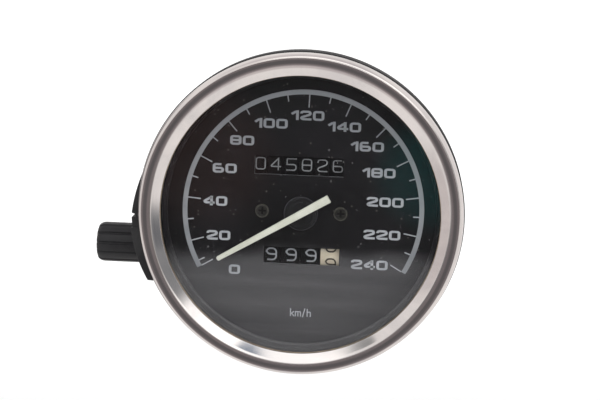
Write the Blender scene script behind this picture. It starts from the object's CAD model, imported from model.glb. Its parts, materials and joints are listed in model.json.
import json
import math

import bmesh
import bpy
from mathutils import Matrix, Vector


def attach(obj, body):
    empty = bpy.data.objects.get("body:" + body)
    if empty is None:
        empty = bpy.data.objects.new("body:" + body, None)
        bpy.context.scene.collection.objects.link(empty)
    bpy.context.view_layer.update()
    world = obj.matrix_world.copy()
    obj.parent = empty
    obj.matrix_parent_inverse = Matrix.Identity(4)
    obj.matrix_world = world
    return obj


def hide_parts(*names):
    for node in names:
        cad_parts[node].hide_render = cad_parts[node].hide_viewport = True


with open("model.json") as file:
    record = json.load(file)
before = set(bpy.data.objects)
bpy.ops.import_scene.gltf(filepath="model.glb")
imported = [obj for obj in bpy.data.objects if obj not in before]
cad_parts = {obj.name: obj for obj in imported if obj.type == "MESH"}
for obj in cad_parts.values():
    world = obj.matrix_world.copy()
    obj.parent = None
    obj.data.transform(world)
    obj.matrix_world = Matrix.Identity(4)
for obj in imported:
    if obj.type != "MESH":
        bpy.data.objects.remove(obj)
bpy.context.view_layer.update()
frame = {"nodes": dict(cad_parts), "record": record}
print("frame loaded with", len(frame["nodes"]), "nodes")

mm = 0.001            # pieces are drawn in millimetres and scaled once, in addPiece
crestY = -62.0        # the bezel's front
dialY = -52.4         # the dial's face
drumAxisY = -41.9     # both counters turn about this line
counterZ = 14.2       # the odometer is above the middle, the trip counter below


def tone(red, green, blue):
    # a screen colour from 0 to 255 as the linear colour that a shader takes
    def linear(value):
        value /= 255
        return value / 12.92 if value <= 0.04045 else ((value + 0.055) / 1.055) ** 2.4
    return linear(red), linear(green), linear(blue), 1


def direction(azimuth, elevation):
    # away from the object, in degrees: 0 and 0 is straight in front
    azimuth, elevation = math.radians(azimuth), math.radians(elevation)
    return Vector((math.sin(azimuth) * math.cos(elevation), -math.cos(azimuth) * math.cos(elevation),
                   math.sin(elevation)))


def newObject(name, data):
    item = bpy.data.objects.new(name, data)
    bpy.context.scene.collection.objects.link(item)
    return item


def newMesh(name, bm):
    mesh = bpy.data.meshes.new(name)
    bm.to_mesh(mesh)
    bm.free()
    return mesh


# Camera at the photograph's place
cameraPlace = {
    "aim": (0.03, crestY, 5.38),
    "azimuth": 3.6,
    "elevation": 10.0,
    "distance": 600,
    "roll": 1.83,
    "lens": 117.78,
}


def placeCamera(place):
    away = direction(place["azimuth"], place["elevation"])
    data = bpy.data.cameras.new("photoCamera")
    data.lens = place["lens"]
    data.sensor_width = 36
    data.clip_start = 0.01
    camera = newObject("photoCamera", data)
    turn = (-away).to_track_quat("-Z", "Y").to_matrix().to_4x4()
    camera.matrix_world = (Matrix.Translation(Vector(place["aim"]) * mm + away * place["distance"] * mm) @ turn
                           @ Matrix.Rotation(math.radians(place["roll"]), 4, "Z"))
    bpy.context.scene.camera = camera


placeCamera(cameraPlace)
bpy.context.scene.view_settings.view_transform = "Standard"
print("camera placed")


# Node helpers, and the node groups that several finishes share
def newGroup(name, inputs, outputs):
    # every group takes coordinates, and the rest of its sockets are numbers
    group = bpy.data.node_groups.new(name, "ShaderNodeTree")
    group.interface.new_socket(name="Coordinates", in_out="INPUT", socket_type="NodeSocketVector")
    for side, labels in (("INPUT", inputs), ("OUTPUT", outputs)):
        for label in labels:
            group.interface.new_socket(name=label, in_out=side, socket_type="NodeSocketFloat")
    inside = group.nodes.new("NodeGroupInput").outputs
    return group, inside, inside["Coordinates"], group.nodes.new("NodeGroupOutput")


def setSockets(tree, node, values):
    # by name or number: a socket is linked, and a plain number or colour is set
    for key, value in values.items():
        if isinstance(value, bpy.types.NodeSocket):
            tree.links.new(value, node.inputs[key])
        else:
            node.inputs[key].default_value = value


def addNode(tree, kind, settings=(), values=(), **named):
    node = tree.nodes.new(kind)
    for key, value in dict(settings).items():
        setattr(node, key, value)
    setSockets(tree, node, {**dict(values), **{key.replace("_", " "): value for key, value in named.items()}})
    return node


def mapRange(tree, source, low, high, start, end, kind="SMOOTHSTEP"):
    values = {"Value": source, "From Min": low, "From Max": high, "To Min": start, "To Max": end}
    return addNode(tree, "ShaderNodeMapRange", {"interpolation_type": kind}, values).outputs["Result"]


def mathNode(tree, operation, first, second):
    return addNode(tree, "ShaderNodeMath", {"operation": operation}, {0: first, 1: second}).outputs[0]


def vectorNode(tree, operation, first, second=(0, 0, 0)):
    return addNode(tree, "ShaderNodeVectorMath", {"operation": operation}, {0: first, 1: second}).outputs["Value"]


def mixColours(tree, share, first, second):
    return addNode(tree, "ShaderNodeMix", {"data_type": "RGBA"}, {0: share, 6: first, 7: second}).outputs[2]


def mixShaders(tree, share, first, second):
    return addNode(tree, "ShaderNodeMixShader", values={0: share, 1: first, 2: second}).outputs[0]


def noiseNode(tree, coords, **values):
    return addNode(tree, "ShaderNodeTexNoise", Vector=coords, **values).outputs[0]


def smudgeGroup():
    # soft patches of wear, handling and age
    group, inside, coords, outside = newGroup("smudges", ["Scale"], ["Mask"])
    noise = noiseNode(group, coords, Scale=inside["Scale"], Detail=5, Roughness=0.62, Distortion=0.4)
    setSockets(group, outside, {"Mask": mapRange(group, noise, 0.36, 0.66, 0, 1)})
    return group


def grainGroup():
    # the fine grain of moulded plastic, castings and paint
    group, inside, coords, outside = newGroup("mouldedGrain", ["Scale"], ["Height", "Mask"])
    noise = noiseNode(group, coords, Scale=inside["Scale"], Detail=3, Roughness=0.7)
    cells = addNode(group, "ShaderNodeTexVoronoi", {"feature": "SMOOTH_F1"}, Smoothness=0.6, Vector=coords,
                    Scale=inside["Scale"])
    setSockets(group, outside, {"Height": mathNode(group, "MULTIPLY", noise, cells.outputs["Distance"]),
                                "Mask": mapRange(group, noise, 0.4, 0.6, 0, 1)})
    return group


def turnedGroup():
    # fine rings left by turning and polishing about the instrument's axis
    group, inside, coords, outside = newGroup("turnedRings", ["Rings"], ["Height", "Mask"])
    x, depth, z = addNode(group, "ShaderNodeSeparateXYZ", Vector=coords).outputs
    radius = vectorNode(group, "LENGTH", addNode(group, "ShaderNodeCombineXYZ", X=x, Y=z).outputs[0])
    place = mathNode(group, "ADD", *(mathNode(group, "MULTIPLY", item, inside["Rings"]) for item in (radius, depth)))
    noise = addNode(group, "ShaderNodeTexNoise", {"noise_dimensions": "1D"}, W=place, Detail=3, Roughness=0.75,
                    Scale=1).outputs[0]
    patches = mapRange(group, noiseNode(group, coords, Scale=60, Detail=3), 0.4, 0.65, 0, 1)
    rubbed = mathNode(group, "MULTIPLY", mapRange(group, noise, 0.35, 0.7, 0, 1), patches)
    setSockets(group, outside, {"Height": noise, "Mask": rubbed})
    return group


def dustGroup():
    # scattered specks: a share of the cells holds one, of uneven size
    group, inside, coords, outside = newGroup("dustSpecks", ["Scale", "Share"], ["Mask"])
    cells = addNode(group, "ShaderNodeTexVoronoi", Vector=coords, Scale=inside["Scale"], Randomness=1).outputs
    pick = addNode(group, "ShaderNodeSeparateColor", Color=cells["Color"]).outputs
    held = mathNode(group, "LESS_THAN", pick[0], inside["Share"])
    near = mathNode(group, "LESS_THAN", cells["Distance"], mathNode(group, "MULTIPLY", pick[1], 0.32))
    setSockets(group, outside, {"Mask": mathNode(group, "MULTIPLY", held, near)})
    return group


def streakGroup():
    # level streaks, as dust leaves where a gauge is wiped, with a ragged upper edge between two heights
    group, inside, coords, outside = newGroup("wipedStreaks", ["Low", "High"], ["Streaks", "Cover"])
    wide = addNode(group, "ShaderNodeMapping", Vector=coords, Scale=(9, 1, 190)).outputs[0]
    streaks = noiseNode(group, wide, Scale=1, Detail=5, Roughness=0.6)
    ragged = mapRange(group, noiseNode(group, coords, Scale=26, Detail=3), 0.2, 0.8, -0.005, 0.005, "LINEAR")
    height = mathNode(group, "ADD", addNode(group, "ShaderNodeSeparateXYZ", Vector=coords).outputs["Z"], ragged)
    setSockets(group, outside, {"Streaks": mapRange(group, streaks, 0.34, 0.66, 0, 1, "LINEAR"),
                                "Cover": mapRange(group, height, inside["Low"], inside["High"], 1, 0)})
    return group


groups = {"smudge": smudgeGroup(), "grain": grainGroup(), "turned": turnedGroup(), "dust": dustGroup(),
          "streaks": streakGroup()}
print("node groups built")


def useGroup(tree, key, coords, **values):
    return addNode(tree, "ShaderNodeGroup", {"node_tree": groups[key]}, values, Coordinates=coords).outputs


def newMaterial(name):
    material = bpy.data.materials.new(name)
    material.use_nodes = True
    tree = material.node_tree
    return material, tree, tree.nodes["Principled BSDF"], addNode(tree, "ShaderNodeTexCoord").outputs["Object"]


# A finish has two tones, the patches that blend them, and a roughness from even to worn. It has grain or turned rings
# (count, depth), and some have metal, shine, dust (count, share, colour), a fade to another tone between two heights,
# or a grey haze that ends between two heights, in two tones of streaks. Counts are to the metre, depths and heights
# in metres, and colours are screen colours from 0 to 255.
def surface(first, second, patches, rough, **more):
    return {"tones": (first, second), "patches": patches, "rough": rough, **more}


finishes = {
    "black_plastic": surface((30, 30, 32), (46, 46, 47), 70, (0.5, 0.68), shine=0.3, grain=(2600, 0.00008),
        dust=(1300, 0.04, (78, 76, 72))),
    "screw_steel": surface((178, 180, 182), (142, 142, 140), 160, (0.28, 0.48), metal=1, grain=(3000, 0.00003),
        dust=(1400, 0.08, (92, 84, 72))),
    "bezel_steel": surface((232, 227, 224), (216, 212, 211), 38, (0.06, 0.16), metal=1, turned=(9000, 0.0000012)),
    "rubber": surface((30, 29, 28), (52, 48, 44), 120, (0.6, 0.8), grain=(3500, 0.00003)),
    "aged_rubber": surface((156, 142, 124), (118, 106, 92), 90, (0.6, 0.8), shine=0.2, grain=(3500, 0.00002)),
    "surround": surface((22, 22, 24), (34, 34, 37), 55, (0.4, 0.55), shine=0.3, grain=(2800, 0.00001),
        haze=(-0.0185, -0.0112, (88, 87, 89), (98, 97, 99)), dust=(800, 0.04, (80, 78, 76))),
    "dial": surface((14, 14, 16), (22, 21, 24), 45, (0.5, 0.68), shine=0.12, grain=(4200, 0.000006),
        haze=(-0.0185, -0.0112, (69, 68, 71), (83, 82, 84)), dust=(900, 0.06, (66, 64, 62))),
    "print": surface((172, 174, 180), (160, 162, 167), 260, (0.5, 0.66), grain=(6000, 0.00001),
        fade=(-0.006, 0.03, (127, 129, 134))),
    "dark_screw": surface((66, 64, 56), (46, 45, 40), 700, (0.35, 0.5), metal=0.2, grain=(5000, 0.00002)),
    "screw_face": surface((24, 24, 23), (44, 42, 38), 900, (0.4, 0.6), shine=0.25, grain=(5000, 0.00002)),
    "recess": surface((8, 8, 9), (14, 13, 13), 700, (0.6, 0.8), shine=0.1, grain=(5000, 0.00002)),
    "plated_steel": surface((176, 176, 172), (146, 145, 140), 140, (0.3, 0.5), metal=1, grain=(2600, 0.00003),
        dust=(1200, 0.06, (100, 92, 80))),
    "brass": surface((188, 158, 98), (150, 122, 74), 180, (0.25, 0.45), metal=1, grain=(3200, 0.00002)),
    "bronze": surface((172, 134, 92), (142, 108, 72), 200, (0.3, 0.5), metal=1, grain=(3200, 0.00002)),
    "soft_iron": surface((92, 92, 94), (70, 68, 68), 150, (0.45, 0.65), metal=0.8, grain=(2400, 0.00004)),
    "die_cast": surface((150, 151, 153), (128, 128, 130), 110, (0.4, 0.6), metal=0.9, grain=(1900, 0.00006)),
    "bulb_glass": surface((238, 226, 198), (220, 206, 176), 160, (0.12, 0.25), grain=(2400, 0.00001)),
    "pointer_paint": surface((212, 212, 200), (202, 202, 188), 130, (0.45, 0.6), grain=(5200, 0.00001),
        dust=(1500, 0.04, (150, 146, 128))),
    "hub_plastic": surface((18, 18, 20), (27, 27, 29), 260, (0.4, 0.55), shine=0.2, turned=(5200, 0.000004)),
    "hub_edge": surface((48, 48, 54), (36, 36, 40), 300, (0.3, 0.45), grain=(4200, 0.00001)),
    "cup_aluminium": surface((196, 197, 199), (176, 177, 179), 150, (0.25, 0.4), metal=1, turned=(6000, 0.00001)),
    "white_plastic": surface((212, 208, 196), (196, 190, 174), 170, (0.4, 0.55), grain=(3400, 0.00002)),
    "knob_rubber": surface((24, 24, 27), (37, 37, 39), 130, (0.4, 0.58), shine=0.35, grain=(2600, 0.00006),
        dust=(1300, 0.04, (86, 83, 80))),
    "drum_black": surface((6, 6, 8), (11, 11, 13), 240, (0.5, 0.65), shine=0.08, grain=(4200, 0.00001)),
    "drum_white": surface((206, 196, 178), (188, 176, 156), 200, (0.4, 0.55), grain=(4200, 0.00002)),
    "arc_print": surface((148, 150, 154), (134, 137, 142), 90, (0.5, 0.66), grain=(6000, 0.00001),
        fade=(-0.002, 0.036, (132, 134, 139))),
    "counter_print": surface((128, 129, 133), (108, 109, 112), 300, (0.5, 0.66), grain=(6000, 0.00001)),
    "trip_print": surface((150, 152, 157), (134, 136, 141), 300, (0.5, 0.66), grain=(6000, 0.00001)),
    "dark_print": surface((42, 36, 32), (58, 50, 44), 300, (0.5, 0.66), grain=(6000, 0.00001)),
    "cut_edge": surface((186, 187, 190), (150, 152, 156), 300, (0.4, 0.55), metal=0.5, grain=(4000, 0.00002)),
    "pale_floor": surface((244, 244, 244), (241, 241, 241), 3, (0.7, 0.8), grain=(400, 0.0001)),
}


def makeFinish(name, look):
    material, tree, shader, coords = newMaterial(name)
    mask = useGroup(tree, "smudge", coords, Scale=look["patches"])["Mask"]
    colour = mixColours(tree, mask, *(tone(*item) for item in look["tones"]))
    key, label = ("turned", "Rings") if "turned" in look else ("grain", "Scale")
    count, depth = look[key]
    relief = useGroup(tree, key, coords, **{label: count})
    bump = addNode(tree, "ShaderNodeBump", Strength=0.6, Distance=depth, Height=relief["Height"]).outputs[0]
    if key == "turned":
        mask = mathNode(tree, "MAXIMUM", mask, relief["Mask"])
    if "fade" in look:
        low, high, faded = look["fade"]
        height = addNode(tree, "ShaderNodeSeparateXYZ", Vector=coords).outputs["Z"]
        colour = mixColours(tree, mapRange(tree, height, low, high, 0, 1), colour, tone(*faded))
    if "haze" in look:
        low, high, thin, thick = look["haze"]
        streaks = useGroup(tree, "streaks", coords, Low=low, High=high)
        grey = mixColours(tree, streaks["Streaks"], tone(*thin), tone(*thick))
        colour = mixColours(tree, streaks["Cover"], colour, grey)
    if "dust" in look:
        count, share, dusty = look["dust"]
        specks = useGroup(tree, "dust", coords, Scale=count, Share=share)["Mask"]
        colour = mixColours(tree, specks, colour, tone(*dusty))
        mask = mathNode(tree, "MAXIMUM", mask, specks)
    setSockets(tree, shader, {"Base Color": colour, "Metallic": look.get("metal", 0), "Normal": bump,
                              "Roughness": mapRange(tree, mask, 0, 1, *look["rough"], "LINEAR"),
                              "Specular IOR Level": look.get("shine", 0.5)})
    return material


finish = {name: makeFinish(name, look) for name, look in finishes.items()}

# Clear glass, which lets lamp light through to the dial
glassLook = {"ior": 1.45, "rough": (0.0, 0.004), "tint": tone(250, 252, 251), "patches": 55}


def makeGlass(name, look):
    material, tree, shader, coords = newMaterial(name)
    mask = useGroup(tree, "smudge", coords, Scale=look["patches"])["Mask"]
    setSockets(tree, shader, {"Base Color": look["tint"], "Transmission Weight": 1, "IOR": look["ior"],
                              "Roughness": mapRange(tree, mask, 0, 1, *look["rough"], "LINEAR")})
    path = addNode(tree, "ShaderNodeLightPath").outputs
    passes = mathNode(tree, "MAXIMUM", path["Is Shadow Ray"], path["Is Diffuse Ray"])
    mixed = mixShaders(tree, passes, shader.outputs[0], addNode(tree, "ShaderNodeBsdfTransparent").outputs[0])
    setSockets(tree, tree.nodes["Material Output"], {"Surface": mixed})
    return material


finish["glass"] = makeGlass("glass", glassLook)

# The thin film of dust on the glass: faint streaks low down, from thin to thick, and specks in patches
filmLook = {"colour": tone(206, 205, 208), "rough": 0.9, "low": -0.0185, "high": -0.0112, "thin": 0.004,
            "thick": 0.014, "specks": 0.1, "speckCount": 1100, "speckShare": 0.12, "patches": 45}


def makeFilm(name, look):
    material, tree, shader, coords = newMaterial(name)
    streaks = useGroup(tree, "streaks", coords, Low=look["low"], High=look["high"])
    film = mathNode(tree, "MULTIPLY", streaks["Cover"],
                    mapRange(tree, streaks["Streaks"], 0, 1, look["thin"], look["thick"], "LINEAR"))
    specks = useGroup(tree, "dust", coords, Scale=look["speckCount"], Share=look["speckShare"])["Mask"]
    patch = useGroup(tree, "smudge", coords, Scale=look["patches"])["Mask"]
    speckled = mathNode(tree, "MULTIPLY", mathNode(tree, "MULTIPLY", specks, patch), look["specks"])
    setSockets(tree, shader, {"Base Color": look["colour"], "Roughness": look["rough"], "Specular IOR Level": 0,
                              "Alpha": mathNode(tree, "MAXIMUM", film, speckled)})
    return material


finish["glass_film"] = makeFilm("glass_film", filmLook)
print("finishes made:", len(finish))


# Shapes
def profileBend(start, control, end, steps):
    # points of a soft curve in a profile, from start to end
    return [tuple(start[k] * (1 - t) ** 2 + 2 * control[k] * t * (1 - t) + end[k] * t * t for k in (0, 1))
            for t in (i / steps for i in range(steps + 1))]


def polar(radius, degrees):
    return radius * math.cos(math.radians(degrees)), radius * math.sin(math.radians(degrees))


def circlePoints(radius, start, end, steps, growth=0, power=1):
    # an arc, whose radius may grow on its way from start to end
    return [polar(radius + growth * (i / steps) ** power, start + (end - start) * i / steps) for i in range(steps + 1)]


def spin(bm, geom, centre, axis, angle, steps, rise=0, merge=False):
    return bmesh.ops.spin(bm, geom=geom, cent=centre, axis=axis, dvec=(0, rise, 0), angle=angle, steps=steps,
                          use_merge=merge, use_duplicate=False)["geom_last"]


def spunShape(profile, steps=180, closed=True):
    # a profile of (radius, y) points turned once about the instrument's axis
    bm = bmesh.new()
    verts = [bm.verts.new((radius, y, 0)) for radius, y in profile]
    pairs = list(zip(verts, verts[1:])) + ([(verts[-1], verts[0])] if closed else [])
    edges = [bm.edges.new(pair) for pair in pairs]
    spin(bm, verts + edges, (0, 0, 0), (0, 1, 0), 2 * math.pi, steps, merge=True)
    bmesh.ops.remove_doubles(bm, verts=bm.verts, dist=0.0005)
    bmesh.ops.recalc_face_normals(bm, faces=bm.faces)
    return bm


def moved(items, kind):
    return [item for item in items if isinstance(item, kind)]


def thicken(bm, depth):
    # flat faces become a solid that reaches depth further along y
    grown = bmesh.ops.extrude_face_region(bm, geom=bm.faces[:])["geom"]
    bmesh.ops.translate(bm, vec=(0, depth, 0), verts=moved(grown, bmesh.types.BMVert))
    bmesh.ops.recalc_face_normals(bm, faces=bm.faces)
    return bm


def plateShape(y0, y1, outlines=(), rounds=()):
    # a flat plate between y0 and y1: the first loop is its edge and the others are holes
    bm = bmesh.new()
    for points in outlines:
        verts = [bm.verts.new((x, y0, z)) for x, z in points]
        for pair in zip(verts, verts[1:] + verts[:1]):
            bm.edges.new(pair)
    for radius, x, z, segments in rounds:
        place = Matrix.Translation((x, y0, z)) @ Matrix.Rotation(math.pi / 2, 4, "X")
        bmesh.ops.create_circle(bm, cap_ends=False, segments=segments, radius=radius, matrix=place)
    bmesh.ops.triangle_fill(bm, use_beauty=True, use_dissolve=False, edges=bm.edges[:])
    return thicken(bm, y1 - y0)


def bevelled(bm, edges, width, segments):
    bmesh.ops.bevel(bm, geom=edges, offset=width, offset_type="OFFSET", affect="EDGES", segments=segments,
                    profile=0.5, material=-1, clamp_overlap=True)
    return bm


def softenEdges(bm, width, angle=35, segments=2):
    limit = math.radians(angle)
    sharp = [edge for edge in bm.edges if len(edge.link_faces) == 2 and edge.calc_face_angle() > limit]
    return bevelled(bm, sharp, width, segments)


def closeEnds(bm):
    bmesh.ops.holes_fill(bm, edges=[edge for edge in bm.edges if len(edge.link_faces) == 1], sides=0)
    bmesh.ops.recalc_face_normals(bm, faces=bm.faces)
    return bm


def markFaces(bm, chosen):
    # the faces whose middle is chosen take the piece's second finish
    for face in bm.faces:
        if chosen(face, face.calc_center_median()):
            face.material_index = 1


def joined(*shapes):
    whole = bmesh.new()
    for shape in shapes:
        part = newMesh("part", shape)
        whole.from_mesh(part)
        bpy.data.meshes.remove(part)
    return whole


def shifted(bm, x=0, y=0, z=0):
    bmesh.ops.translate(bm, vec=(x, y, z), verts=bm.verts)
    return bm


def addPiece(name, bm, finishNames, body, replaced=(), crease=20):
    bmesh.ops.scale(bm, vec=(mm, mm, mm), verts=bm.verts)
    limit = math.radians(crease)
    for face in bm.faces:
        face.smooth = True
    for edge in bm.edges:
        edge.smooth = len(edge.link_faces) != 2 or edge.calc_face_angle() < limit
    mesh = newMesh(name, bm)
    for item in finishNames:
        mesh.materials.append(finish[item])
    piece = newObject(name, mesh)
    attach(piece, body)
    if replaced:
        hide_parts(*replaced)


# Bezel: a rolled steel ring with a sloped inner face, a nearly flat front band, a crease and a rounded skirt.
# The front is given as the slope in degrees at each radius, and its depth follows from it.
bezelShape = {
    "opening": 43.35, "crestDepth": 0.02, "shoulder": (49.05, 0.42), "crease": (49.07, 0.62),
    "skirtTop": (50.0, 0.95), "outer": 50.28, "skirtDepth": 3.1, "rear": 5.0, "skirtSoft": 0.25, "bead": 48.2,
    "beadFront": 4.2, "beadSoft": 0.15, "wall": 48.8, "wallRear": 3.9, "wallFront": 2.4, "lipSoft": 0.04,
    "slopes": [(43.38, 28), (43.55, 28), (45.4, 27), (45.8, 22.5), (46.15, 16), (46.5, 11), (47.0, 7), (47.6, 3),
               (48.3, -1), (48.75, -4), (48.9, -8), (48.97, -18), (49.01, -34)],
}


def makeBezel(s):
    front = [(s["slopes"][0][0], 0)]
    for (r0, a0), (r1, a1) in zip(s["slopes"], s["slopes"][1:]):
        for i in range(1, 4):
            slope = math.tan(math.radians(a0 + (a1 - a0) * (i - 0.5) / 3))
            front.append((r0 + (r1 - r0) * i / 3, front[-1][1] - slope * (r1 - r0) / 3))
    lift = s["crestDepth"] - min(depth for radius, depth in front)
    front = [(radius, depth + lift) for radius, depth in front]
    profile = [(s["opening"], s["wallFront"]), (s["opening"], front[0][1] + s["lipSoft"]), *front, s["shoulder"]]
    profile += profileBend(s["crease"], s["skirtTop"], (s["outer"], s["skirtDepth"]), 10)
    profile += [(s["outer"], s["rear"] - s["skirtSoft"]), (s["outer"] - s["skirtSoft"], s["rear"]),
                (s["bead"] + s["beadSoft"], s["rear"]), (s["bead"], s["rear"] - s["beadSoft"]),
                (s["bead"], s["beadFront"]), (s["wall"], s["wallRear"]), (s["wall"], s["wallFront"])]
    bm = spunShape([(radius, crestY + depth) for radius, depth in profile], 240)
    print("bezel slope depth", round(front[0][1], 3))
    addPiece("bezel_ring", bm, ["bezel_steel"], "case", ["bezel"], 40)


makeBezel(bezelShape)

# Glass, its dust, its rubber and the black ring behind it
glassShape = {
    "radius": 45.5, "front": -59.1, "rear": -57.1, "soft": 0.25, "filmRadius": 43.1, "filmGap": 0.02,
    "filmThick": 0.01, "trimSoft": 0.12,
    "gasket": [(43.16, -59.56), (46.8, -59.56), (46.8, -57.1), (45.62, -57.1), (45.62, -59.1), (43.2, -59.1)],
    "ring": [(42.8, -57.1), (46.2, -57.1), (46.2, dialY), (41.8, dialY), (41.86, -52.9), (42.4, -53.4),
             (42.72, -56.4)],
}


def discShape(radius, front, rear, steps):
    return spunShape([(0, front), (radius, front), (radius, rear), (0, rear)], steps, False)


def makeGlassParts(s):
    bm = softenEdges(discShape(s["radius"], s["front"], s["rear"], 180), s["soft"])
    addPiece("glass_disc", bm, ["glass"], "case", ["lens"])
    film = s["front"] - s["filmGap"]
    bm = discShape(s["filmRadius"], film, film - s["filmThick"], 120)
    addPiece("glass_dust", bm, ["glass_film"], "case")
    bm = softenEdges(spunShape(s["gasket"]), s["trimSoft"])
    addPiece("glass_gasket", bm, ["aged_rubber"], "case", ["lens_gasket"])
    bm = softenEdges(spunShape(s["ring"]), s["trimSoft"])
    addPiece("dial_ring", bm, ["surround"], "case", ["dial_surround"])


makeGlassParts(glassShape)
print("bezel and glass done")

# Dial plate with its two windows, whose cut edges show bare metal
dialShape = {
    "radius": 45.5, "thick": 0.8, "spindleHole": 2.0, "screwX": 12.2, "screwHole": 1.3, "soft": 0.06, "near": 0.1,
    "windows": [(-1.1, 14.38, 27.6, 5.8), (0.4, -13.95, 23.6, 5.35)],
}


def boxPoints(x, z, width, height):
    return [(x - width / 2, z - height / 2), (x + width / 2, z - height / 2),
            (x + width / 2, z + height / 2), (x - width / 2, z + height / 2)]


def makeDial(s):
    rounds = [(s["radius"], 0, 0, 180), (s["spindleHole"], 0, 0, 48)]
    rounds += [(s["screwHole"], x, 0, 32) for x in (-s["screwX"], s["screwX"])]
    bm = plateShape(dialY, dialY + s["thick"], [boxPoints(*window) for window in s["windows"]], rounds)
    for x, z, width, height in s["windows"]:
        markFaces(bm, lambda face, at: abs(face.normal.y) < 0.5 and abs(at.x - x) < width / 2 + s["near"]
                  and abs(at.z - z) < height / 2 + s["near"])
    softenEdges(bm, s["soft"], segments=1)
    addPiece("dial_face", bm, ["dial", "cut_edge"], "case", ["dial_plate"])


makeDial(dialShape)

# Lettering: a pen as wide as the stroke is drawn along a path. Two letters give a point: how far across, from
# h L l f j g c v s k r R at the left to the right, and how far up, from B b d w m q u t T at the foot to the top.
# A path marked sharp has small corners, as all of 1, 4 and 7 have, and one marked close ends where it starts.
figurePaths = {
    "0": ["lb rb rt lt close"],
    "1": ["sB sT", "fq vt"],
    "2": ["lu lt rt rq lw lb Rb"],
    "3": ["lu lt rt rb lb ld", "gm km"],
    "4": ["Rw hw st", "sT sB"],
    "5": ["sharp Rt lt lm", "Lm rm rb Lb"],
    "6": ["kt lt lb rb rm jm"],
    "7": ["Lt rt cB"],
    "8": ["lb rb rt lt close", "jm km"],
    "9": ["jb rb rt lt lm km"],
}
sharpFigures = "147"
sharpCorner = 0.52      # the radius of a small corner, as a share of the pen
turnStep = 0.35         # a bend takes one step for so many radians


def penPoint(letters, width, height, pen):
    left, low = (pen - width) / 2, (pen - height) / 2
    across = {"h": left - pen * 0.85, "L": -width / 2, "l": left, "f": -0.28 * width, "j": left + pen / 2,
              "g": -0.12 * width, "c": 0, "v": 0.22 * width - pen / 2, "s": 0.22 * width, "k": -left - pen / 2,
              "r": -left, "R": width / 2}
    up = {"B": -height / 2, "b": low, "d": low * 0.5, "w": -0.2 * height, "m": 0, "q": 0.1 * height, "u": -low * 0.5,
          "t": -low, "T": height / 2}
    return Vector((across[letters[0]], 0, up[letters[1]]))


def penEdge(bm, at, heading, pen):
    side = Vector((-heading.z, 0, heading.x)) * pen / 2
    return bm.edges.new((bm.verts.new(at - side), bm.verts.new(at + side)))


def penLine(bm, edge, step):
    grown = bmesh.ops.extrude_edge_only(bm, edges=[edge])["geom"]
    verts = moved(grown, bmesh.types.BMVert)
    bmesh.ops.translate(bm, vec=step, verts=verts)
    return next(item for item in moved(grown, bmesh.types.BMEdge) if set(item.verts) == set(verts))


def penTurn(bm, edge, centre, angle):
    # positive angles turn left, seen from the front
    last = spin(bm, [*edge.verts, edge], centre, (0, -1, 0), angle, max(2, round(abs(angle) / turnStep)))
    return moved(last, bmesh.types.BMEdge)[0]


def drawStroke(bm, points, pen, radius, closed=False):
    if closed:
        start = (points[0] + points[1]) / 2
        points = [start, *points[1:], points[0], start]
    at, heading = points[0], (points[1] - points[0]).normalized()
    edge = penEdge(bm, at, heading, pen)
    for corner, after in zip(points[1:-1], points[2:]):
        onward = (after - corner).normalized()
        angle = math.atan2(heading.x * onward.z - heading.z * onward.x, heading.dot(onward))
        reach = radius * math.tan(abs(angle) / 2)
        stop = corner - heading * reach
        edge = penLine(bm, edge, stop - at)
        left = Vector((-heading.z, 0, heading.x))
        edge = penTurn(bm, edge, stop + left * math.copysign(radius, angle), angle)
        at, heading = corner + onward * reach, onward
    penLine(bm, edge, points[-1] - at)


def drawFigure(text, width, height, pen, radius):
    bm = bmesh.new()
    for path in figurePaths[text]:
        letters = path.split()
        closed, sharp = letters[-1] == "close", letters[0] == "sharp" or text in sharpFigures
        points = [penPoint(item, width, height, pen) for item in letters if item not in ("close", "sharp")]
        drawStroke(bm, points, pen, pen * sharpCorner if sharp else radius, closed)
    bmesh.ops.remove_doubles(bm, verts=bm.verts, dist=0.002)
    bmesh.ops.dissolve_degenerate(bm, dist=0.002, edges=bm.edges[:])
    return bm


# Scale: the arc, its marks, the numerals and the unit
scaleShape = {
    "outer": 37.7, "inner": 36.2, "thick": 0.08, "markWidth": 0.36, "majorEnd": 32.2, "minorEnd": 34.3,
    "centre": (0.49, 0.42),
    "across": (0.9970, 0.0006),       # the print's slight skew, as the photograph shows it
    "up": (0.0108, 1.0054),
    "marks": [210.2, 196.7, 174.9, 153.3, 131.3, 110.0, 88.5, 67.5, 47.0, 27.2, 8.2, -11.0, -30.1],
    "firstMinor": 207.3,
}
numeralShape = {
    "width": 2.74, "height": 3.0, "pen": 0.66, "radius": 0.48, "stretch": 1.29, "gap": 0.42, "oneWidth": 1.75,
    "oneAside": 0.3,
    "centres": {0: (-20.39, -19.07), 20: (-25.69, -8.41), 40: (-26.93, 2.43), 60: (-24.23, 12.83), 80: (-19.03, 21.78),
                100: (-9.91, 27.43), 120: (1.33, 30.28), 140: (12.77, 27.19), 160: (20.01, 21.35), 180: (23.91, 13.31),
                200: (25.86, 4.22), 220: (25.26, -6.13), 240: (21.71, -15.77)},
}


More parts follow.
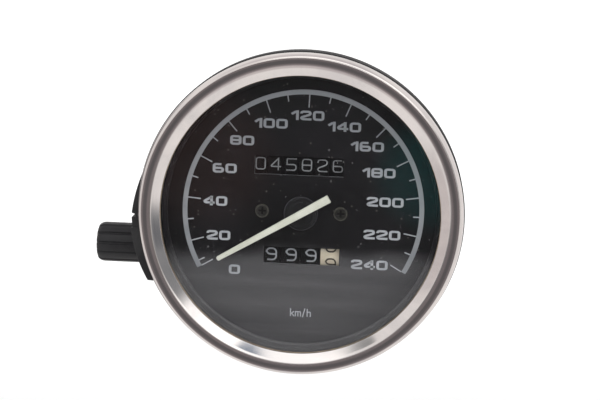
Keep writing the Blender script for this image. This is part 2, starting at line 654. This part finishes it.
def makeScale(s):
    bm = bmesh.new()
    start, end = s["marks"][0], s["marks"][-1]
    width = s["outer"] - s["inner"]
    middle = (s["outer"] + s["inner"]) / 2

    def spoke(angle):
        x, z = polar(1, angle)
        return Vector((x, 0, z))

    out = spoke(start)
    edge = penEdge(bm, out * middle, Vector((out.z, 0, -out.x)), width)
    spin(bm, [*edge.verts, edge], (0, 0, 0), (0, -1, 0), math.radians(end - start), 120)
    arcFaces = len(bm.faces)
    minor = [(a + b) / 2 for a, b in zip(s["marks"][1:], s["marks"][2:])] + [s["firstMinor"]]
    for angles, reach in ((s["marks"], s["majorEnd"]), (minor, s["minorEnd"])):
        for angle in angles:
            out = spoke(angle)
            edge = penEdge(bm, out * s["inner"], -out, s["markWidth"])
            penLine(bm, edge, out * (reach - s["inner"]))
    bm.faces.ensure_lookup_table()
    for face in bm.faces[arcFaces:]:
        face.material_index = 1
    for vert in bm.verts:
        x, z = vert.co.x, vert.co.z
        vert.co.x, vert.co.z = s["across"][0] * x + s["across"][1] * z, s["up"][0] * x + s["up"][1] * z
    shifted(bm, s["centre"][0], dialY, s["centre"][1])
    addPiece("scale_arc", thicken(bm, -s["thick"]), ["arc_print", "print"], "case", ["dial_markings"])


def makeNumerals(s, thick):
    shapes = []
    for speed, (x, z) in s["centres"].items():
        text = str(speed)
        widths = [s["oneWidth"] if item == "1" else s["width"] * s["stretch"] for item in text]
        at = x - (sum(widths) + s["gap"] * (len(text) - 1)) / 2
        for item, width in zip(text, widths):
            figure = drawFigure(item, s["width"], s["height"], s["pen"], s["radius"])
            bmesh.ops.scale(figure, vec=(s["stretch"], 1, 1), verts=figure.verts)
            middle = at + width / 2 - (s["oneAside"] if item == "1" else 0)
            shapes.append(shifted(figure, middle, dialY, z))
            at += width + s["gap"]
    addPiece("scale_numerals", thicken(joined(*shapes), -thick), ["print"], "case")


makeScale(scaleShape)
makeNumerals(numeralShape, scaleShape["thick"])

# The unit in narrow letters, each as strokes in a unit box, with its place and width
unitShape = {
    "height": 2.5, "pen": 0.34, "radius": 0.204, "centre": (0.9, -32.0),
    "letters": [
        (-2.75, 1.1, [[(0, 0), (0, 1)], [(0.12, 0.3), (1, 0.66)], [(0.35, 0.38), (1.05, 0)]]),
        (-0.95, 1.6, [[(0, 0), (0, 0.66)], [(0.1, 0.6), (1, 0.6), (1, 0)], [(0.5, 0.5), (0.5, 0)]]),
        (0.85, 0.75, [[(0, -0.08), (1, 1.05)]]),
        (2.45, 1.0, [[(0, 0), (0, 1)], [(0.12, 0.6), (1, 0.6), (1, 0)]]),
    ],
}


def makeUnit(s, thick):
    bm = bmesh.new()
    centreX, centreZ = s["centre"]
    for middle, width, strokes in s["letters"]:
        for stroke in strokes:
            points = [Vector((centreX + middle + (x - 0.5) * width, dialY, centreZ + (z - 0.5) * s["height"]))
                      for x, z in stroke]
            drawStroke(bm, points, s["pen"], s["radius"])
    addPiece("scale_unit", thicken(bm, -thick), ["print"], "case")


makeUnit(unitShape, scaleShape["thick"])
print("dial done")


# Screws with a cross recess: a thin disc under a plate with a cross-shaped hole, then the shank
def crossPoints(reach, half, x, z):
    arm = [(half, half), (half, reach), (-half, reach), (-half, half), (-reach, half), (-reach, -half),
           (-half, -half), (-half, -reach), (half, -reach), (half, -half), (reach, -half), (reach, half)]
    return [(x + a, z + b) for a, b in arm]


screwFace = {"drop": 0.2, "rim": 0.8, "disc": 0.84}     # shares of the recess's depth and of the head's radius


def screwShape(s, x, z):
    # faces front or rear: outer is the plane of the head's rim, and the face lies a little lower
    outer, floor, seat = s["outer"], s["outer"] + s["recess"], s["seat"]
    face = outer + s["recess"] * screwFace["drop"]
    head, hole, within = ((s["radius"] * share, x, z, 64) for share in (1, screwFace["rim"], screwFace["disc"]))
    rim = softenEdges(plateShape(outer, floor, rounds=[head, hole]), s["soft"])
    disc = plateShape(face, floor, [crossPoints(s["reach"], s["slot"] / 2, x, z)], [within])
    base = plateShape(floor, seat, rounds=[head])
    shank = plateShape(seat, s["end"], rounds=[(s["shank"], x, z, 32)])
    for index, shape in enumerate((rim, disc, base, shank)):
        for item in shape.faces:
            item.material_index = index % 3
    return joined(rim, disc, base, shank)


dialScrew = {"outer": -53.1, "recess": 0.38, "seat": -52.4, "end": -47.6, "radius": 2.15, "shank": 1.1, "reach": 1.25,
             "slot": 0.7, "soft": 0.1}
coverScrew = {"outer": -0.2, "recess": -0.7, "seat": -1.6, "end": -8.0, "radius": 2.8, "shank": 1.5, "reach": 2.0,
              "slot": 0.75, "soft": 0.12}
coverScrewPlaces = [(x, z) for x in (-12, 12) for z in (-27, 27)]
addPiece("dial_screw_pair", joined(*(screwShape(dialScrew, x, 0) for x in (-dialShape["screwX"], dialShape["screwX"]))),
         ["dark_screw", "screw_face", "recess"], "case", ["dial_screws"])
addPiece("cover_screw_set", joined(*(screwShape(coverScrew, x, z) for x, z in coverScrewPlaces)),
         ["screw_steel", "screw_steel", "recess"], "case", ["cover_screws"])

# Pointer and its hub, whose edge has a lighter finish
pointerShape = {
    "rest": 210.9, "tip": 29.85, "tail": 10.1, "tailWidth": 2.52, "tipWidth": 1.4, "tipCut": 0.3, "tipFlat": 0.28,
    "front": -56.45, "rear": -55.4, "soft": 0.2,
    "hub": [(0.8, -55.38), (3.5, -55.38), (3.6, -55.26), (4.25, -55.26), (4.35, -55.38), (5.1, -55.38), (5.3, -55.2),
            (5.3, -54.8), (5.1, -54.6), (2.2, -54.6), (2.2, -53.2), (0.8, -53.2)],
    "hubSoft": 0.05, "edge": (5.05, 5.28), "edgeRear": -55.0,
}


def makePointer(s):
    half = [(-s["tail"], s["tailWidth"] / 2), (s["tip"] - s["tipCut"], s["tipWidth"] / 2),
            (s["tip"], s["tipWidth"] * s["tipFlat"])]
    blade = [(x, -z) for x, z in half] + half[::-1]
    bm = softenEdges(plateShape(s["front"], s["rear"], [blade]), s["soft"], 30, 3)
    turn = Matrix.Rotation(math.radians(s["rest"]), 3, (0, -1, 0))
    bmesh.ops.rotate(bm, cent=(0, 0, 0), matrix=turn, verts=bm.verts)
    addPiece("pointer_blade", bm, ["pointer_paint"], "pointer_arbor", ["pointer"])
    bm = softenEdges(spunShape(s["hub"], 120), s["hubSoft"], segments=1)
    inner, outer = s["edge"]
    markFaces(bm, lambda face, at: inner < math.hypot(at.x, at.z) < outer and at.y < s["edgeRear"])
    addPiece("pointer_boss", bm, ["hub_plastic", "hub_edge"], "pointer_arbor", ["pointer_hub"])


makePointer(pointerShape)
print("screws and pointer done")

# Figures on the drums: ten a drum, drawn flat, cut into strips and bent round the drum's axis
drumPrint = {"radius": 9.3, "thick": 0.055, "sunk": 0.01, "strip": 0.55}
counters = {
    "odometer": {"z": counterZ, "aside": 0.32, "lift": 0.42, "centres": [10.5, 5.7, 0.9, -3.9, -8.7, -13.5],
                 "shown": [6, 2, 8, 5, 4, 0], "turn": -36, "width": 3.2, "height": 3.95, "pen": 0.38, "radius": 0.75,
                 "finish": "counter_print"},
    "trip": {"z": -counterZ, "aside": 0.25, "lift": 0.3, "centres": [9.3, 3.1, -3.1, -9.3],
             "shown": [9.44, 9, 9, 9], "turn": 36, "width": 3.55, "height": 4.1, "pen": 0.5, "radius": 1.2,
             "finish": "trip_print"},
}


def bentFigure(text, look, x, angle, axisZ):
    bm = drawFigure(text, look["width"], look["height"], look["pen"], look["radius"])
    for cut in range(-3, 4):
        bmesh.ops.bisect_plane(bm, geom=bm.verts[:] + bm.edges[:] + bm.faces[:], dist=0.0005,
                               plane_co=(0, 0, cut * drumPrint["strip"]), plane_no=(0, 0, 1), use_snap_center=False)
    thicken(bm, -drumPrint["thick"])
    for vert in bm.verts:
        turn = math.radians(angle) + (vert.co.z + look["lift"]) / drumPrint["radius"]
        radius = drumPrint["radius"] - drumPrint["sunk"] - vert.co.y
        vert.co = (vert.co.x + x + look["aside"], drumAxisY - radius * math.cos(turn), axisZ + radius * math.sin(turn))
    bmesh.ops.recalc_face_normals(bm, faces=bm.faces)
    return bm


for counter, look in counters.items():
    for number, (x, shown) in enumerate(zip(look["centres"], look["shown"]), 1):
        shapes = [bentFigure(str(item), look, x, look["turn"] * ((item - shown + 5) % 10 - 5), look["z"])
                  for item in range(10)]
        pale = counter == "trip" and number == 1
        addPiece(f"{counter}_figures_{number}", joined(*shapes), ["dark_print" if pale else look["finish"]],
                 f"{counter}_drum_{number}")
print("counters done")

# Reset knob: a fluted grip with a domed end, lying along -X
knobShape = {"radius": 6.25, "flutes": 12, "fluteDepth": 0.5, "land": 0.62, "curve": 0.7, "turn": 0.12,
             "rings": [(-47.5, 0.955), (-47.85, 0.985), (-48.2, 1.0), (-52.0, 1.0), (-58.0, 1.0), (-62.8, 1.0),
                       (-63.6, 0.985), (-64.3, 0.94), (-64.8, 0.87), (-65.15, 0.72), (-65.32, 0.5), (-65.4, 0.22)]}


def makeKnob(s):
    bm = bmesh.new()
    place = Matrix.Rotation(math.pi / 2, 4, "Y")
    ring = bmesh.ops.create_circle(bm, cap_ends=False, segments=216, radius=s["radius"], matrix=place)["verts"]
    for vert in ring:
        angle = (math.atan2(vert.co.z, vert.co.y) + s["turn"]) * s["flutes"]
        groove = max(0, math.cos(angle) - s["land"]) / (1 - s["land"])
        vert.co *= 1 - s["fluteDepth"] / s["radius"] * groove ** s["curve"]
    edges = bm.edges[:]
    at, size = 0, 1
    for index, (x, share) in enumerate(s["rings"]):
        if index:
            grown = bmesh.ops.extrude_edge_only(bm, edges=edges)["geom"]
            ring = moved(grown, bmesh.types.BMVert)
            edges = [item for item in moved(grown, bmesh.types.BMEdge) if set(item.verts) <= set(ring)]
        bmesh.ops.scale(bm, vec=(1, share / size, share / size), verts=ring)
        bmesh.ops.translate(bm, vec=(x - at, 0, 0), verts=ring)
        at, size = x, share
    shifted(closeEnds(bm), 0, drumAxisY, -counterZ)
    addPiece("knob_grip", bm, ["knob_rubber"], "reset_arbor", ["reset_knob"])


makeKnob(knobShape)

# Case: the turned body with its rim, the guard plate in front of the knob with its steps, and the knob's boss
caseShape = {
    "neckIn": 46.9, "neck": 48.6, "neckFront": -59.4, "neckRear": -58.2, "groove": 48.1, "grooveFront": -57.9,
    "rim": 50.6, "rimBack": 50.5, "rimFront": -57.0, "rimRear": -50.5, "bodyFront": 46.5, "bodyRear": 37.0,
    "rear": -3.0, "wall": 2.4, "ledge": -51.6, "ledgeIn": 44.3, "foot": 48.6,
    "guard": 53.2, "guardFrom": 187, "guardTo": 206, "guardTaper": 0.7, "guardSlant": 2.6, "plateFront": -56.9,
    "guardRear": -49.5, "stepDrop": 0.5, "stepFrom": 183.5, "stepTo": 188, "stepFront": -56.5, "stepRear": -51.5,
    "fairingFrom": 167, "fairingTo": 182, "fairingSunk": 0.1, "fairingRise": 2.1, "fairingEnd": (0.9, 182.4, 184.5),
    "bossEnd": -46.5, "bossStart": -30.0, "bossRadius": 5.0, "soft": 0.3, "stepSoft": 0.2, "bossSoft": 0.4,
}


def makeCase(s):
    shell = spunShape([
        (s["neckIn"], s["neckFront"]), (s["neck"], s["neckFront"]), (s["neck"], s["neckRear"]),
        (s["groove"], s["grooveFront"]), (s["groove"], s["rimFront"]), (s["rim"], s["rimFront"]),
        (s["rimBack"], s["rimRear"]), (s["bodyFront"], s["rimRear"]), (s["bodyRear"], s["rear"]),
        (s["bodyRear"] - s["wall"], s["rear"]), (s["ledgeIn"], s["ledge"]), (s["neckIn"], s["ledge"])])
    start, end = s["guardFrom"], s["guardTo"]
    guard = circlePoints(s["guard"], start, end, 20, -s["guardTaper"], 2)
    guard += circlePoints(s["foot"], end + s["guardSlant"], start, 20)
    step = circlePoints(s["guard"] - s["stepDrop"], s["stepFrom"], s["stepTo"], 6)
    step += circlePoints(s["foot"], s["stepTo"], s["stepFrom"], 6)
    lift, first, last = s["fairingEnd"]
    fairing = circlePoints(s["rim"] - s["fairingSunk"], s["fairingFrom"], s["fairingTo"], 12, s["fairingRise"])
    fairing += circlePoints(s["rim"] + lift, first, last, 2)
    fairing += circlePoints(s["foot"], last, s["fairingFrom"], 14)
    boss = bmesh.new()
    length = s["bossStart"] - s["bossEnd"]
    place = Matrix.Translation((s["bossEnd"] + length / 2, drumAxisY, -counterZ)) @ Matrix.Rotation(math.pi / 2, 4, "Y")
    bmesh.ops.create_cone(boss, cap_ends=True, cap_tris=False, segments=72, radius1=s["bossRadius"],
                          radius2=s["bossRadius"], depth=length, matrix=place)
    shapes = [(shell, s["soft"]), (plateShape(s["plateFront"], s["guardRear"], [guard]), s["soft"]),
              (plateShape(s["stepFront"], s["stepRear"], [step]), s["stepSoft"]),
              (plateShape(s["plateFront"], s["stepRear"], [fairing]), s["stepSoft"]), (boss, s["bossSoft"])]
    whole = joined(*(softenEdges(shape, width) for shape, width in shapes))
    addPiece("case_body", whole, ["black_plastic"], "case", ["housing"])


makeCase(caseShape)

# Rear cover in three layers, so that screw heads and lamp flanges sit in their pockets
coverShape = {
    "radius": 37.0, "chamfer": 0.6, "socketHole": 6.6, "studHole": 3.1, "spigot": (31.1, 34.4, -3.0, -7.6),
    "layers": [(-3.0, -1.6, 1.7, 5.5), (-1.6, -1.4, 3.0, 5.5), (-1.4, 0.0, 3.0, 7.2)],
}
lampPlaces = [(-20, 17), (20, 17)]
studPlaces = [polar(27, angle) for angle in (90, 210, 330)]


def makeCover(s):
    parts = []
    for y0, y1, screwHole, lampHole in s["layers"]:
        rounds = [(s["radius"], 0, 0, 180), (s["socketHole"], 0, 0, 72)]
        rounds += [(s["studHole"], x, z, 48) for x, z in studPlaces]
        rounds += [(screwHole, x, z, 48) for x, z in coverScrewPlaces]
        rounds += [(lampHole, x, z, 64) for x, z in lampPlaces]
        layer = plateShape(y0, y1, rounds=rounds)
        if y1 == 0:
            rim = {vert for vert in layer.verts
                   if vert.co.y > -0.01 and math.hypot(vert.co.x, vert.co.z) > s["radius"] - 0.1}
            bevelled(layer, [edge for edge in layer.edges if set(edge.verts) <= rim], s["chamfer"], 3)
        parts.append(layer)
    inner, outer, start, reach = s["spigot"]
    parts.append(spunShape([(inner, start), (inner, reach), (outer, reach), (outer, start)]))
    addPiece("cover_plate", joined(*parts), ["black_plastic"], "case", ["rear_cover"])


makeCover(coverShape)
print("case done")

# Turned fittings at the rear, with threads as a closed three-sided ridge wound round a core
ridgeShape = {"half": 0.44, "sunk": 0.08}       # its half width is a share of the pitch
socketShape = {
    "core": 5.4, "outer": 6.0, "pitch": 1.0, "from": 0.9, "to": 12.1, "perTurn": 48,
    "profile": [(3.05, -6.4), (9, -6.4), (9, -3), (6.6, -3), (6.6, 0), (5.4, 0.02), (5.4, 12.6), (5.0, 13), (3.9, 13),
                (3.6, 12.7), (3.6, 6), (3.05, 6)],
    "steps": 96, "closed": True, "soft": 0.1,
}
studShape = {
    "core": 2.05, "outer": 2.5, "pitch": 0.8, "from": 0.7, "to": 13.3, "perTurn": 32,
    "profile": [(0, -5), (4.3, -5), (4.3, -3), (3.1, -3), (3.1, 0), (2.05, 0.02), (2.05, 13.6), (1.65, 14), (0, 14)],
    "steps": 48, "closed": False, "soft": 0.12,
}
lampShape = {
    "profile": [(4.7, -7.2), (5.5, -7.2), (5.5, -1.4), (7, -1.4), (7, 0), (4.4, 0), (3.9, 0.5), (3.4, 1.4), (3.4, 5.1),
                (3.0, 5.5), (0, 5.5), (0, -1), (4.7, -1)],
    "steps": 72, "closed": False, "soft": 0.18,
}


def turnedShape(s, x=0, z=0):
    return shifted(softenEdges(spunShape(s["profile"], s["steps"], s["closed"]), s["soft"]), x, 0, z)


def threadRidge(s, x=0, z=0):
    bm = bmesh.new()
    root, half, length = s["core"] - ridgeShape["sunk"], s["pitch"] * ridgeShape["half"], s["to"] - s["from"]
    corners = [(root, s["from"] - half, 0), (s["outer"], s["from"], 0), (root, s["from"] + half, 0)]
    face = bm.faces.new([bm.verts.new(corner) for corner in corners])
    turns = length / s["pitch"]
    steps = round(turns * s["perTurn"])
    spin(bm, [face, *face.edges, *face.verts], (0, 0, 0), (0, 1, 0), 2 * math.pi * turns, steps, length / steps)
    return shifted(closeEnds(bm), x, 0, z)


addPiece("cable_thread", joined(turnedShape(socketShape), threadRidge(socketShape)), ["plated_steel"], "case",
         ["cable_socket"])
studs = [make(studShape, x, z) for x, z in studPlaces for make in (turnedShape, threadRidge)]
addPiece("stud_threads", joined(*studs), ["screw_steel"], "case", ["mounting_studs"])
addPiece("lamp_sockets", joined(*(turnedShape(lampShape, x, z) for x, z in lampPlaces)), ["rubber"], "case",
         ["bulb_holders"])
print("rear fittings done")

# CAD nodes that stay take the finish of their material slot
for entry in frame["record"]["subparts"]:
    mesh = frame["nodes"][entry["node"]].data
    mesh.materials.clear()
    mesh.materials.append(finish[entry["material_slot"]])
print("CAD nodes dressed")

# Floor, which the camera sees lifted by a pale glow, because the lamps light its far part less
floorShape = {"size": 5, "centre": (0, 2, -0.11), "near": 0.15, "far": 0.9, "lift": (0.12, 0.55)}


def makeFloor(s):
    bm = bmesh.new()
    bmesh.ops.create_grid(bm, x_segments=8, y_segments=8, size=s["size"], matrix=Matrix.Translation(s["centre"]))
    mesh = newMesh("pale_floor", bm)
    floor = newObject("pale_floor", mesh)
    material = finish["pale_floor"]
    tree = material.node_tree
    away = vectorNode(tree, "LENGTH", addNode(tree, "ShaderNodeTexCoord").outputs["Object"])
    strength = mapRange(tree, away, s["near"], s["far"], *s["lift"], "LINEAR")
    glow = addNode(tree, "ShaderNodeEmission", Color=(1, 1, 1, 1), Strength=strength).outputs[0]
    dark = addNode(tree, "ShaderNodeEmission", Color=(0, 0, 0, 1), Strength=0).outputs[0]
    seen = mixShaders(tree, addNode(tree, "ShaderNodeLightPath").outputs["Is Camera Ray"], dark, glow)
    painted = tree.nodes["Principled BSDF"].outputs[0]
    both = addNode(tree, "ShaderNodeAddShader", values={0: painted, 1: seen}).outputs[0]
    setSockets(tree, tree.nodes["Material Output"], {"Surface": both})
    mesh.materials.append(material)
    floor.visible_glossy = False
    floor.visible_transmission = False


lamps = [
    {"name": "keyLamp", "place": (-0.45, -0.75, 0.85), "size": 0.7, "power": 5.6},
    {"name": "fillLamp", "place": (0.7, -0.6, 0.35), "size": 0.8, "power": 2.8},
    {"name": "rearLamp", "place": (0.3, 0.8, 0.7), "size": 0.7, "power": 2.4},
]


def makeLamps():
    for lamp in lamps:
        data = bpy.data.lights.new(lamp["name"], "AREA")
        data.shape = "DISK"
        data.size = lamp["size"]
        data.energy = lamp["power"]
        item = newObject(lamp["name"], data)
        place = Vector(lamp["place"])
        item.matrix_world = Matrix.Translation(place) @ (-place).to_track_quat("-Z", "Y").to_matrix().to_4x4()
        item.visible_camera = False
        item.visible_glossy = False
        item.visible_transmission = False


# What metal and glass mirror: white studio walls with soft patches. Each has its azimuth, elevation, and inner and
# outer limit in degrees, then its colour, and whether only the glass shows it and not the bezel beside it.
mirrored = [
    (0, 90, 20, 48, (0.70, 0.66, 0.67), False),
    (14, 36, 22, 37, (1.5, 1.48, 1.46), False),
    (-58, -8, 12, 30, (0.70, 0.645, 0.635), False),
    (-4, -31, 6, 24, (0.62, 0.57, 0.57), False),
    (43, 4, 12, 20, (0.27, 0.275, 0.285), False),
    (-135, -8, 14, 34, (0.28, 0.26, 0.26), False),
    (16, -8, 6, 15, (0.21, 0.195, 0.19), False),
    (-24, -2, 6, 15, (0.20, 0.19, 0.195), False),
    (-4, -6, 13, 24.5, (0.21, 0.185, 0.19), False),
    (-4, -10, 4.5, 9, (0.12, 0.113, 0.117), False),
    (-6.4, -8.8, 0.6, 2.4, (0.34, 0.19, 0.17), True),
    (0.2, -9.1, 0.4, 1.9, (0.05, 0.42, 0.42), True),
    (13.6, 35.7, 2.2, 5.5, (0.08, 0.15, 0.25), False),
    (-31.8, 31.6, 1.6, 4.2, (0.05, 0.07, 0.07), False),
    (-27.5, 33.5, 0.8, 2.2, (0.22, 0.25, 0.25), False),
    (45, -3, 1.5, 6, (0.17, 0.175, 0.19), False),
]
wallLight = {"seen": (1, 1, 1, 1), "mirrored": (0.90, 0.87, 0.86, 1), "cast": (0.62, 0.62, 0.62, 1)}


def makeWorld():
    world = bpy.data.worlds.new("studio")
    bpy.context.scene.world = world
    world.use_nodes = True
    tree = world.node_tree
    ray = addNode(tree, "ShaderNodeTexCoord").outputs["Generated"]
    path = addNode(tree, "ShaderNodeLightPath").outputs
    colour = wallLight["mirrored"]
    for azimuth, elevation, inner, outer, shade, glassOnly in mirrored:
        near = vectorNode(tree, "DOT_PRODUCT", ray, direction(azimuth, elevation))
        share = mapRange(tree, near, math.cos(math.radians(outer)), math.cos(math.radians(inner)), 0, 1)
        if glassOnly:
            share = mathNode(tree, "MULTIPLY", share, path["Is Transmission Ray"])
        colour = mixColours(tree, share, colour, (*shade, 1))
    glossy = mathNode(tree, "MAXIMUM", path["Is Glossy Ray"], path["Is Transmission Ray"])
    lit = mixColours(tree, glossy, wallLight["cast"], colour)
    final = mixColours(tree, path["Is Camera Ray"], lit, wallLight["seen"])
    setSockets(tree, tree.nodes["Background"], {"Color": final, "Strength": 1})


makeFloor(floorShape)
makeLamps()
makeWorld()
print("studio ready")

print("boxes written")
